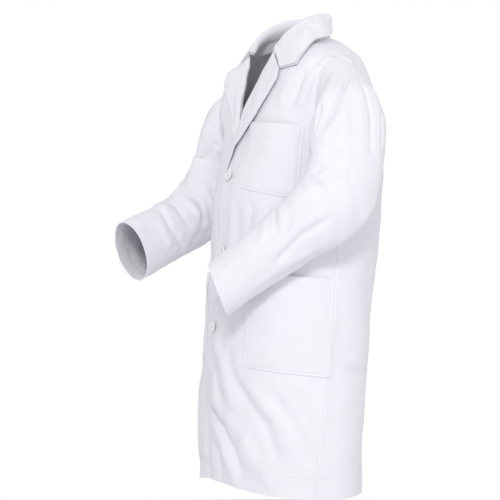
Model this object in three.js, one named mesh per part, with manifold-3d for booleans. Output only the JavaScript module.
// A child's white lab coat, as worn: the coat alone, shaped round an unseen wearer.
// Millimetres, +Z up, the front faces -Y and the wearer's left is +X.
// The origin is the middle of the neck opening, at the height where the neck meets the shoulders.
import * as THREE from 'three';
import { mergeVertices } from 'three/addons/utils/BufferGeometryUtils.js';
import Module from 'manifold-3d';

const wasm = await Module();
wasm.setup();

// ---- driving dimensions ----

// Level sections of the body, from the hem to the neck. Each one is: height at the side, rise at
// the front, rise at the back, half width, front depth, back depth, centre Y, squareness.
const BODY_SECTIONS = [
  [-682, 15, 0, 162, 110, 104, -20, 2.3],
  [-628, 13, 0, 161, 110, 105, -20, 2.3],
  [-504, 10, 0, 154, 115, 112, -14, 2.3],
  [-395, 7, 0, 145, 116, 116, -3, 2.3],
  [-302, 5, 0, 132, 122, 123, 8, 2.3],
  [-235, 3, 0, 124, 122, 128, 10, 2.4],
  [-165, 3, 2, 124, 102, 128, 9, 2.5],
  [-105, 6, 6, 130, 84, 118, 8, 2.5],
  [-62, 14, 18, 132, 70, 100, 8, 2.5],
  [-38, 16, 26, 128, 62, 88, 8, 2.3],
  [-22, 14, 26, 108, 57, 76, 7, 2.1],
  [-8, 10, 20, 82, 53, 64, 5, 2.0],
  [0, 4, 12, 60, 50, 55, 4, 2.0],
];
const CLOTH = 2; // cloth of a panel with its seam allowances
const LAYER_GAP = 1.6; // between two layers that lie on each other
const SIDE_SEAM = 90; // degrees from the front
const SEAM_GAP = 0.3; // degrees between two panels at a seam
const UNDERLAP = { depth: 7.8, from: 48, full: 20 }; // right front inside the left one, by degrees

const ARMHOLE = { y: 8, z: -103, radius: 62 }; // a hole along X through each side
const SLEEVE_ROOT = { inside: 106, outside: 134, radius: 57, underarmGap: 3, turnedRadius: 49 };
const ARMS = {
  left: { side: 1, elbow: [192, -24, -240], cuff: [92, -178, -374] },
  right: { side: -1, elbow: [-188, -58, -258], cuff: [-93, -226, -320] },
};
const ELBOW = { upperTube: 41, lowerTube: 40, innerBall: 50, outerBall: 55 };
const CUFF_RADIUS = 37;

// Lines up the fronts, as height and degrees from the front. Below the break each front has its
// own edge, and the left one laps further over the right towards the hem. Above it both fronts
// turn out along the roll line of the V neck.
const ROLL_LINE = [[-200, -8], [-170, 1.5], [-150, 6], [-100, 17], [-50, 28], [-20, 50], [-4, 75], [4, 88]];
const LEFT_EDGE = [[-682, -24], [-450, -17], [-330, -9], ...ROLL_LINE];
const RIGHT_EDGE = ROLL_LINE;
const LAPEL_EDGE = [[-198, -6], [-169, 3], [-137, 17], [-119, 23], [-72, 42]];
const FACING = { width: 30, inset: 0.5, fromArmhole: 8 }; // degrees

const BUTTON = { radius: 8.5, thickness: 3.2, standOff: 2.5 };
const BUTTON_PLACES = [[-208, 0], [-322, -1], [-435, -10]]; // height and degrees
const BUTTONHOLE = { width: 20, height: 5 };
const SHANK_RADIUS = 1.2;

// Patch pockets: corners as height and degrees, upper then lower, nearer the middle first.
const CHEST_POCKET = { corners: [[-129, 25], [-132, 55], [-225, 18], [-238, 57]], bulge: 10 };
const LEFT_HIP_POCKET = { corners: [[-353, 28], [-361, 84], [-489, 27], [-505, 82]], bulge: 9 };
const RIGHT_HIP_POCKET = { corners: [[-353, 34], [-361, 88], [-489, 33], [-505, 86]], bulge: 9 };

const WHITE_CLOTH = { color: 0xf1f1f4, roughness: 0.9, metalness: 0 };
const PALE_TAPE = { color: 0xe6e6ea, roughness: 0.85, metalness: 0 };
const WHITE_PLASTIC = { color: 0xf6f6f3, roughness: 0.25, metalness: 0 };
const WHITE_THREAD = { color: 0xececec, roughness: 0.8, metalness: 0 };

// ---- small helpers ----

const coat = new THREE.Group();
const radians = THREE.MathUtils.degToRad;
const vector = (list) => new THREE.Vector3(...list);
const mix = THREE.MathUtils.lerp;
const smooth = (x, from, to) => THREE.MathUtils.smoothstep(x, from, to);

function addPiece(name, geometry, look) {
  const mesh = new THREE.Mesh(geometry, new THREE.MeshStandardMaterial(look));
  mesh.name = name;
  coat.add(mesh);
}

// Broken-line value: points are [key, value] pairs with rising keys.
function along(points, key) {
  let i = 0;
  while (i < points.length - 2 && key > points[i + 1][0]) i += 1;
  const [k0, v0] = points[i];
  const [k1, v1] = points[i + 1];
  return mix(v0, v1, THREE.MathUtils.clamp((key - k0) / (k1 - k0), 0, 1));
}

// A closed solid between two grids of points, outer(row, column) and inner(row, column).
function shell(outer, inner, rows, columns, wraps = false) {
  const across = wraps ? columns : columns + 1;
  const points = [];
  for (const side of [outer, inner]) {
    for (let i = 0; i <= rows; i += 1) {
      for (let j = 0; j < across; j += 1) points.push(side(i, j));
    }
  }
  const at = (side, i, j) => side * (rows + 1) * across + i * across + (j % across);
  const faces = [];
  const quad = (a, b, c, d) => faces.push(a, b, c, a, c, d);
  for (let i = 0; i < rows; i += 1) {
    for (let j = 0; j < columns; j += 1) {
      quad(at(0, i, j), at(0, i, j + 1), at(0, i + 1, j + 1), at(0, i + 1, j));
      quad(at(1, i, j), at(1, i + 1, j), at(1, i + 1, j + 1), at(1, i, j + 1));
    }
  }
  for (let j = 0; j < columns; j += 1) {
    quad(at(0, 0, j), at(1, 0, j), at(1, 0, j + 1), at(0, 0, j + 1));
    quad(at(0, rows, j), at(0, rows, j + 1), at(1, rows, j + 1), at(1, rows, j));
  }
  for (let i = 0; i < rows && !wraps; i += 1) {
    quad(at(0, i, 0), at(0, i + 1, 0), at(1, i + 1, 0), at(1, i, 0));
    quad(at(0, i, columns), at(1, i, columns), at(1, i + 1, columns), at(0, i + 1, columns));
  }
  return facingOut(points, faces);
}

// Turns the faces round if they enclose a negative volume.
function facingOut(points, faces) {
  let volume = 0;
  for (let k = 0; k < faces.length; k += 3) {
    const [a, b, c] = [points[faces[k]], points[faces[k + 1]], points[faces[k + 2]]];
    volume += a.dot(new THREE.Vector3().crossVectors(b, c));
  }
  const geometry = new THREE.BufferGeometry().setFromPoints(points);
  geometry.setIndex(volume < 0 ? faces.slice().reverse() : faces);
  return geometry;
}

function solid(geometry) {
  const bare = geometry.clone();
  bare.deleteAttribute('normal');
  bare.deleteAttribute('uv');
  const merged = mergeVertices(bare, 1e-3);
  return new wasm.Manifold(new wasm.Mesh({
    numProp: 3,
    vertProperties: new Float32Array(merged.attributes.position.array),
    triVerts: new Uint32Array(merged.index.array),
  }));
}

function fromSolid(body) {
  const mesh = body.getMesh();
  const geometry = new THREE.BufferGeometry();
  geometry.setAttribute('position', new THREE.BufferAttribute(new Float32Array(mesh.vertProperties), 3));
  geometry.setIndex(new THREE.BufferAttribute(new Uint32Array(mesh.triVerts), 1));
  return geometry;
}

// A geometry turned so that its +Z runs along a direction, and moved to a place.
function placed(geometry, direction, place) {
  const turn = new THREE.Quaternion().setFromUnitVectors(new THREE.Vector3(0, 0, 1), direction);
  return geometry.clone().applyQuaternion(turn).translate(place.x, place.y, place.z);
}

// ---- the body surface ----

// Where each section lies along the surface, from 0 at the hem to 1 at the neck.
const SECTION_AT = [0];
for (let i = 1; i < BODY_SECTIONS.length; i += 1) {
  const [below, here] = [BODY_SECTIONS[i - 1], BODY_SECTIONS[i]];
  SECTION_AT.push(SECTION_AT[i - 1] + Math.hypot(here[0] - below[0], here[3] - below[3]));
}
const SURFACE_LENGTH = SECTION_AT.at(-1);
SECTION_AT.forEach((length, i) => { SECTION_AT[i] = length / SURFACE_LENGTH; });

function sectionSlope(i, item) {
  const last = BODY_SECTIONS.length - 1;
  const value = (k) => BODY_SECTIONS[k][item];
  if (i === 0) return (value(1) - value(0)) / (SECTION_AT[1] - SECTION_AT[0]);
  if (i === last) return (value(last) - value(last - 1)) / (SECTION_AT[last] - SECTION_AT[last - 1]);
  const below = SECTION_AT[i] - SECTION_AT[i - 1];
  const above = SECTION_AT[i + 1] - SECTION_AT[i];
  const slopeBelow = (value(i) - value(i - 1)) / below;
  const slopeAbove = (value(i + 1) - value(i)) / above;
  return (slopeBelow * above + slopeAbove * below) / (above + below);
}

// The section at v, on a smooth curve through the listed ones.
function sectionAt(v) {
  let i = 0;
  while (i < SECTION_AT.length - 2 && v > SECTION_AT[i + 1]) i += 1;
  const span = SECTION_AT[i + 1] - SECTION_AT[i];
  const t = (v - SECTION_AT[i]) / span;
  return BODY_SECTIONS[i].map((value, item) => (
    (1 + 2 * t) * (1 - t) ** 2 * value
    + t * (1 - t) ** 2 * span * sectionSlope(i, item)
    + t * t * (3 - 2 * t) * BODY_SECTIONS[i + 1][item]
    + t * t * (t - 1) * span * sectionSlope(i + 1, item)
  ));
}

// A point of the body surface: degrees round from the front, v up from the hem.
function surfacePoint(degrees, v) {
  const [height, frontRise, backRise, halfWidth, front, back, centreY, square] = sectionAt(v);
  const sine = Math.sin(radians(degrees));
  const cosine = Math.cos(radians(degrees));
  const depth = cosine > 0 ? front : back;
  const rise = (cosine > 0 ? frontRise : backRise) * cosine * cosine;
  const reach = (Math.abs(sine / halfWidth) ** square + Math.abs(cosine / depth) ** square) ** (-1 / square);
  return new THREE.Vector3(reach * sine, centreY - reach * cosine, height + rise);
}

// The same point moved out along the surface's normal (in, when the offset is negative).
function bodyPoint(degrees, v, offset = 0) {
  const point = surfacePoint(degrees, v);
  const step = 1e-3;
  const low = Math.min(v, 1 - step);
  const round = surfacePoint(degrees + 0.1, low).sub(surfacePoint(degrees - 0.1, low));
  const up = surfacePoint(degrees, low + step).sub(surfacePoint(degrees, low));
  return point.addScaledVector(round.cross(up).normalize(), offset);
}

// The v at which the surface reaches a height, at so many degrees round.
function vAt(height, degrees) {
  let [low, high] = [0, 1];
  for (let i = 0; i < 40; i += 1) {
    const middle = (low + high) / 2;
    if (surfacePoint(degrees, middle).z < height) low = middle;
    else high = middle;
  }
  return (low + high) / 2;
}

// Degrees of the armhole's edge on one level: towards the front or towards the back.
function armholeEdge(v, towardsBack) {
  const outside = (degrees) => {
    const point = surfacePoint(degrees, v);
    return Math.hypot(point.y - ARMHOLE.y, point.z - ARMHOLE.z) > ARMHOLE.radius;
  };
  if (outside(SIDE_SEAM)) return SIDE_SEAM;
  let [inside, beyond] = [SIDE_SEAM, towardsBack ? SIDE_SEAM + 60 : SIDE_SEAM - 60];
  for (let i = 0; i < 40; i += 1) {
    const middle = (inside + beyond) / 2;
    if (outside(middle)) beyond = middle;
    else inside = middle;
  }
  return beyond;
}

// Levels of every panel: hem to armhole, closer together round the armhole, then the shoulder.
const LEVELS = [];
const SKIRT_LEVELS = 7;
const ARMHOLE_LEVELS = 8;
const UNDERARM = vAt(ARMHOLE.z - ARMHOLE.radius, SIDE_SEAM);
for (let i = 0; i < SKIRT_LEVELS; i += 1) LEVELS.push(UNDERARM * i / SKIRT_LEVELS);
for (let i = 0; i <= ARMHOLE_LEVELS; i += 1) {
  const height = ARMHOLE.z - ARMHOLE.radius * Math.cos(Math.PI * i / ARMHOLE_LEVELS);
  LEVELS.push(vAt(height, SIDE_SEAM));
}
for (const share of [0.4, 0.75, 0.97]) LEVELS.push(mix(LEVELS[SKIRT_LEVELS + ARMHOLE_LEVELS], 1, share));

// The height on a level where the edge lines are read.
const edgeHeight = (v) => surfacePoint(20, v).z;
const leftEdge = (v) => along(LEFT_EDGE, edgeHeight(v));
const rightEdge = (v) => along(RIGHT_EDGE, edgeHeight(v));

// ---- body panels ----

// How far inside the body surface the right front lies, by degrees from the middle.
const rightOffset = (degrees) => -UNDERLAP.depth * (1 - smooth(-degrees, UNDERLAP.full, UNDERLAP.from));
const leftOffset = () => 0;

// A panel from one edge to another, given as degrees on each level.
function panel(levels, columns, fromEdge, toEdge, offset) {
  const point = (extra) => (i, j) => {
    const v = levels[i];
    const degrees = mix(fromEdge(v), toEdge(v), j / columns);
    return bodyPoint(degrees, v, offset(degrees) + extra);
  };
  return shell(point(0), point(-CLOTH), levels.length - 1, columns);
}

// Slits for the buttons, through the left front and its facing.
function withButtonholes(geometry) {
  let body = solid(geometry);
  for (const [height, degrees] of BUTTON_PLACES) {
    const middle = bodyPoint(degrees, vAt(height, degrees), -CLOTH);
    const slit = new THREE.BoxGeometry(BUTTONHOLE.width, 10 * CLOTH, BUTTONHOLE.height);
    slit.rotateZ(radians(degrees)).translate(middle.x, middle.y, middle.z);
    body = body.subtract(solid(slit));
  }
  return fromSolid(body);
}

function addBodyPanels() {
  const sideEdge = (v) => armholeEdge(v, false) - SEAM_GAP;
  const left = panel(LEVELS, 8, leftEdge, sideEdge, leftOffset);
  addPiece('left_front_panel', withButtonholes(left), WHITE_CLOTH);
  const right = panel(LEVELS, 8, (v) => -sideEdge(v), (v) => -rightEdge(v), rightOffset);
  addPiece('right_front_panel', right, WHITE_CLOTH);
  const backEdge = (v) => armholeEdge(v, true) + SEAM_GAP;
  addPiece('back_panel', panel(LEVELS, 14, backEdge, (v) => 360 - backEdge(v), leftOffset), WHITE_CLOTH);
}

// Facings: the second layer inside each front edge, from the hem up to the shoulder.
function addFacings() {
  const facingLevels = LEVELS.slice(0, -2);
  const innerEdge = (edge) => (v) => edge(v) + FACING.inset;
  const outerEdge = (edge) => (v) => (
    Math.min(edge(v) + FACING.width, armholeEdge(v, false) - FACING.fromArmhole));
  const below = (offset) => (degrees) => offset(degrees) - CLOTH - LAYER_GAP;
  const left = panel(facingLevels, 3, innerEdge(leftEdge), outerEdge(leftEdge), below(leftOffset));
  addPiece('left_front_facing', withButtonholes(left), WHITE_CLOTH);
  const rightInner = (v) => -innerEdge(rightEdge)(v);
  const rightOuter = (v) => -outerEdge(rightEdge)(v);
  const right = panel(facingLevels, 3, rightOuter, rightInner, below(rightOffset));
  addPiece('right_front_facing', right, WHITE_CLOTH);
}

// ---- lapels ----

const LAPEL_TOP = -52; // height of the gorge seam at the roll line
const LAPEL = { rows: 8, columns: 3, rest: 1.8, stand: 5, leftBottom: -190, rightBottom: -150 };

// Left lapel when side is 1, right lapel when side is -1, from a given height up.
function addLapel(name, side, bottom) {
  const offset = side > 0 ? leftOffset : rightOffset;
  const point = (extra) => (i, j) => {
    const rollHeight = mix(bottom, LAPEL_TOP, i / LAPEL.rows);
    const share = (rollHeight - LAPEL_EDGE[0][0]) / (LAPEL_TOP - LAPEL_EDGE[0][0]);
    const outerHeight = mix(LAPEL_EDGE[0][0], LAPEL_EDGE.at(-1)[0], share);
    const width = j / LAPEL.columns;
    const height = mix(rollHeight, outerHeight, width);
    const roll = along(ROLL_LINE, rollHeight) + 0.7;
    const degrees = side * mix(roll, along(LAPEL_EDGE, outerHeight) + 1.5, width);
    const rise = LAPEL.rest + LAPEL.stand * Math.sin(Math.PI * width * 0.75) * smooth(share, 0, 0.3);
    return bodyPoint(degrees, vAt(height, degrees), Math.max(offset(degrees), -2) + rise + extra);
  };
  addPiece(name, shell(point(CLOTH), point(0), LAPEL.rows, LAPEL.columns), WHITE_CLOTH);
}

// ---- collar ----

// Half of each line of the collar, from the middle of the back round to the front end.
const COLLAR_SEAM = [[0, 57, 19], [34, 47, 14], [53, 18, 4], [54, -8, -2], [50, -39, -10], [46, -59, -28]];
const COLLAR_ROLL = [[0, 63, 45], [38, 54, 41], [61, 22, 31], [62, -8, 17], [51, -44, 0], [41, -66, -32]];
const COLLAR_FALL = [[0, 86, 17], [52, 78, 17], [92, 42, 4], [109, 4, -7], [108, -30, -18], [101, -62, -36]];
const COLLAR = { steps: 16 };

function collarLine(points) {
  const left = points.map(vector);
  const right = points.slice(1).map(([x, y, z]) => new THREE.Vector3(-x, y, z)).reverse();
  return new THREE.CatmullRomCurve3([...right, ...left], false, 'centripetal');
}

// Both collar layers fold over the roll line: up from the neck seam, then down to the fall edge.
function collarLayer(seamShift, rollShift, fallShift) {
  const lines = [COLLAR_SEAM, COLLAR_ROLL, COLLAR_FALL].map(collarLine);
  const sections = [];
  for (let i = 0; i <= COLLAR.steps; i += 1) {
    const [seam, roll, fall] = lines.map((line) => line.getPointAt(i / COLLAR.steps));
    const inward = new THREE.Vector3(-roll.x, -roll.y, 0).normalize();
    const outward = inward.clone().negate();
    const up = new THREE.Vector3(0, 0, 1);
    const seamPoint = seam.clone().addScaledVector(inward, seamShift);
    const rollInner = roll.clone().addScaledVector(inward, seamShift).addScaledVector(up, rollShift - 3);
    const rollTop = roll.clone().addScaledVector(up, rollShift);
    const rollOuter = roll.clone().addScaledVector(outward, fallShift + 4).addScaledVector(up, rollShift - 4);
    const fallPoint = fall.clone().addScaledVector(up, fallShift);
    sections.push([seamPoint, rollInner, rollTop, rollOuter, fallPoint]);
  }
  return sections;
}

function addCollarPiece(name, top, bottom) {
  const grid = (sections) => (i, j) => sections[i][j];
  const last = top[0].length - 1;
  addPiece(name, shell(grid(top), grid(bottom), COLLAR.steps, last), WHITE_CLOTH);
}

// The upper collar is the layer seen from outside; the under collar lies inside its fold.
function addCollar() {
  const layers = [[3.6, 3.6, 3.6], [1.8, 1.8, 1.8], [0.6, 0.6, 0.6], [-1.2, -1.2, -1.2]];
  const [topOut, topIn, underOut, underIn] = layers.map((shifts) => collarLayer(...shifts));
  addCollarPiece('upper_collar', topOut, topIn);
  addCollarPiece('under_collar', underOut, underIn);
}

// ---- sleeves ----

const SLEEVE_SIDES = 14;

// A ring of points round a centre, in the plane of two directions.
function ring(centre, across, acrossSize, along2, alongSize) {
  return Array.from({ length: SLEEVE_SIDES }, (_, j) => {
    const angle = 2 * Math.PI * j / SLEEVE_SIDES;
    return centre.clone()
      .addScaledVector(across, acrossSize * Math.cos(angle))
      .addScaledVector(along2, alongSize * Math.sin(angle));
  });
}

function tube(outerRings, innerRings) {
  const grid = (rings) => (i, j) => rings[i][j];
  return shell(grid(outerRings), grid(innerRings), outerRings.length - 1, SLEEVE_SIDES, true);
}

// Rings of the upper sleeve: a straight root through the armhole, then a fan of rings that turns
// down about the underarm, then a straight run down to the elbow.
function upperSleeveRings(arm, shrink) {
  const elbow = vector(arm.elbow);
  const forward = new THREE.Vector3(0, 1, 0);
  const rings = [];
  const { underarmGap, turnedRadius } = SLEEVE_ROOT;
  const underarmZ = ARMHOLE.z - SLEEVE_ROOT.radius - underarmGap;
  for (const x of [SLEEVE_ROOT.inside, SLEEVE_ROOT.outside]) {
    const centre = new THREE.Vector3(arm.side * x, ARMHOLE.y, ARMHOLE.z);
    const size = SLEEVE_ROOT.radius - shrink;
    rings.push(ring(centre, new THREE.Vector3(0, 0, 1), size, forward, size));
  }
  const fanSteps = 5;
  for (let i = 1; i <= fanSteps; i += 1) {
    const turn = radians(90 * i / fanSteps);
    const size = mix(SLEEVE_ROOT.radius, turnedRadius, i / fanSteps);
    const direction = new THREE.Vector3(arm.side * Math.sin(turn), 0, Math.cos(turn));
    const pivot = new THREE.Vector3(arm.side * SLEEVE_ROOT.outside, ARMHOLE.y, underarmZ);
    const centre = pivot.addScaledVector(direction, size + underarmGap);
    rings.push(ring(centre, direction, size - shrink, forward, size - shrink));
  }
  const fanReach = SLEEVE_ROOT.outside + turnedRadius + underarmGap;
  const fanEnd = new THREE.Vector3(arm.side * fanReach, ARMHOLE.y, underarmZ);
  const axis = elbow.clone().sub(fanEnd).normalize();
  const side = new THREE.Vector3(arm.side, 0, 0).addScaledVector(axis, -axis.x * arm.side).normalize();
  const front = side.clone().cross(axis).multiplyScalar(arm.side).normalize();
  if (front.y < 0) front.negate();
  const endDistance = Math.sqrt((ELBOW.innerBall - 1) ** 2 - (ELBOW.upperTube - 1) ** 2);
  for (const share of [0.55, 1]) {
    const end = elbow.clone().addScaledVector(axis, -endDistance);
    const centre = fanEnd.clone().lerp(end, share);
    const size = mix(turnedRadius, ELBOW.upperTube, share) - shrink;
    rings.push(ring(centre, side, size, front, size));
  }
  return { rings, axis };
}

function ball(radius, centre) {
  return solid(new THREE.SphereGeometry(radius, 16, 10).translate(centre.x, centre.y, centre.z));
}

// The hollow ball at an elbow, open along one tube and cut off past a plane.
function elbowBall(centre, radius, tubeAxis, tubeRadius, openAxis, openDepth) {
  const size = 3 * radius;
  const passage = new THREE.CylinderGeometry(tubeRadius, tubeRadius, size, SLEEVE_SIDES);
  passage.rotateX(Math.PI / 2).translate(0, 0, size / 2);
  const cut = new THREE.BoxGeometry(size, size, size).translate(0, 0, size / 2 + openDepth);
  return ball(radius, centre)
    .subtract(ball(radius - CLOTH, centre))
    .subtract(solid(placed(passage, tubeAxis, centre)))
    .subtract(solid(placed(cut, openAxis, centre)));
}

// One sleeve in two pieces that turn about the elbow. The lower piece's ball covers the upper's.
function addSleeve(name, arm) {
  const elbow = vector(arm.elbow);
  const cuff = vector(arm.cuff);
  const { rings: outer, axis } = upperSleeveRings(arm, 0);
  const { rings: inner } = upperSleeveRings(arm, CLOTH);
  const forearm = cuff.clone().sub(elbow).normalize();
  const hinge = forearm.clone().cross(axis).normalize();
  const back = axis.clone().negate();
  const upperBall = elbowBall(elbow, ELBOW.innerBall, back, ELBOW.upperTube - CLOTH, forearm, 8);
  addPiece(`${name}_sleeve_upper`, fromSolid(solid(tube(outer, inner)).add(upperBall)), WHITE_CLOTH);

  const side = hinge;
  const across = side.clone().cross(forearm).normalize();
  const start = Math.sqrt((ELBOW.outerBall - 1) ** 2 - (ELBOW.lowerTube - 1) ** 2);
  const length = cuff.distanceTo(elbow);
  const lowerRings = (shrink) => [0, 0.5, 1].map((share) => {
    const centre = elbow.clone().addScaledVector(forearm, mix(start, length, share));
    const size = mix(ELBOW.lowerTube, CUFF_RADIUS, share) - shrink;
    return ring(centre, side, size, across, size);
  });
  const lowerBall = elbowBall(elbow, ELBOW.outerBall, forearm, ELBOW.lowerTube - CLOTH, back, 3);
  const lowerTube = solid(tube(lowerRings(0), lowerRings(CLOTH)));
  addPiece(`${name}_sleeve_lower`, fromSolid(lowerTube.add(lowerBall)), WHITE_CLOTH);
}

// ---- patch pockets ----

// A patch sewn down at its sides and bottom, standing open at its top edge.
function addPocket(name, side, { corners, bulge }) {
  const [rows, columns] = [5, 5];
  const [upperNear, upperFar, lowerNear, lowerFar] = corners;
  const point = (extra) => (i, j) => {
    const [up, out] = [i / rows, j / columns];
    const height = mix(mix(lowerNear[0], lowerFar[0], out), mix(upperNear[0], upperFar[0], out), up);
    const degrees = side * mix(mix(lowerNear[1], upperNear[1], up), mix(lowerFar[1], upperFar[1], up), out);
    const rise = bulge * up ** 2 * Math.sin(Math.PI * out) ** 0.8;
    return bodyPoint(degrees, vAt(height, degrees), LAYER_GAP + 0.3 + rise + extra);
  };
  addPiece(name, shell(point(CLOTH), point(0), rows, columns), WHITE_CLOTH);
}

// ---- buttons ----

// A dished round button with four holes, its face along +Z.
function buttonGeometry() {
  const { radius, thickness } = BUTTON;
  const profile = [
    [0, 0], [radius * 0.8, 0], [radius, thickness * 0.4], [radius * 0.94, thickness],
    [radius * 0.76, thickness], [radius * 0.6, thickness * 0.62], [0, thickness * 0.62],
  ].map(([x, y]) => new THREE.Vector2(x, y));
  const lathe = new THREE.LatheGeometry(profile, 14).rotateX(Math.PI / 2);
  let body = solid(facingOutAgain(lathe));
  for (const [x, y] of [[1, 1], [1, -1], [-1, 1], [-1, -1]]) {
    const hole = new THREE.CylinderGeometry(0.9, 0.9, 4 * thickness, 6).rotateX(Math.PI / 2);
    body = body.subtract(solid(hole.translate(x * 1.7, y * 1.7, 0)));
  }
  return fromSolid(body);
}

function facingOutAgain(geometry) {
  const bare = geometry.clone();
  bare.deleteAttribute('normal');
  bare.deleteAttribute('uv');
  const merged = mergeVertices(bare, 1e-3);
  const position = merged.attributes.position;
  const pointAt = (_, i) => new THREE.Vector3().fromBufferAttribute(position, i);
  const points = Array.from({ length: position.count }, pointAt);
  const faces = [];
  const index = merged.index.array;
  for (let k = 0; k < index.length; k += 3) {
    const [a, b, c] = [index[k], index[k + 1], index[k + 2]];
    if (a !== b && b !== c && c !== a) faces.push(a, b, c);
  }
  return facingOut(points, faces);
}

// Each button stands on a thread shank sewn to the right front, through the left front's slit.
function addButtons() {
  const face = buttonGeometry();
  BUTTON_PLACES.forEach(([height, degrees], i) => {
    const v = vAt(height, degrees);
    const seat = bodyPoint(degrees, v, BUTTON.standOff);
    const root = bodyPoint(degrees, v, rightOffset(degrees) + 0.5);
    const outward = seat.clone().sub(root).normalize();
    addPiece(`button_${i + 1}`, placed(face, outward, seat), WHITE_PLASTIC);
    const length = seat.distanceTo(root) - 0.3;
    const shank = new THREE.CylinderGeometry(SHANK_RADIUS, SHANK_RADIUS, length, 8);
    shank.rotateX(Math.PI / 2).translate(0, 0, length / 2);
    addPiece(`button_thread_${i + 1}`, placed(shank, outward, root), WHITE_THREAD);
  });
}

// ---- inside the back neck ----

function addNeckTrim() {
  const label = panel([vAt(2, 180), vAt(9, 180), vAt(14, 180)], 4, () => 163, () => 197, () => -4);
  addPiece('neck_label', label, PALE_TAPE);
  const middle = bodyPoint(180, vAt(13, 180), -8);
  const loopCurve = new THREE.CatmullRomCurve3([
    new THREE.Vector3(-24, middle.y + 1, middle.z - 2),
    new THREE.Vector3(-20, middle.y - 3, middle.z - 9),
    new THREE.Vector3(0, middle.y - 6, middle.z - 14),
    new THREE.Vector3(20, middle.y - 3, middle.z - 9),
    new THREE.Vector3(24, middle.y + 1, middle.z - 2),
  ]);
  const tape = new THREE.Shape();
  tape.moveTo(-0.8, -2);
  tape.lineTo(0.8, -2);
  tape.lineTo(0.8, 2);
  tape.lineTo(-0.8, 2);
  const loop = new THREE.ExtrudeGeometry(tape, { steps: 14, extrudePath: loopCurve });
  addPiece('hanger_loop', loop, PALE_TAPE);
}

addBodyPanels();
addFacings();
addLapel('left_lapel', 1, LAPEL.leftBottom);
addLapel('right_lapel', -1, LAPEL.rightBottom);
addCollar();
addSleeve('left', ARMS.left);
addSleeve('right', ARMS.right);
addPocket('chest_pocket', 1, CHEST_POCKET);
addPocket('left_hip_pocket', 1, LEFT_HIP_POCKET);
addPocket('right_hip_pocket', -1, RIGHT_HIP_POCKET);
addButtons();
addNeckTrim();

export default coat;
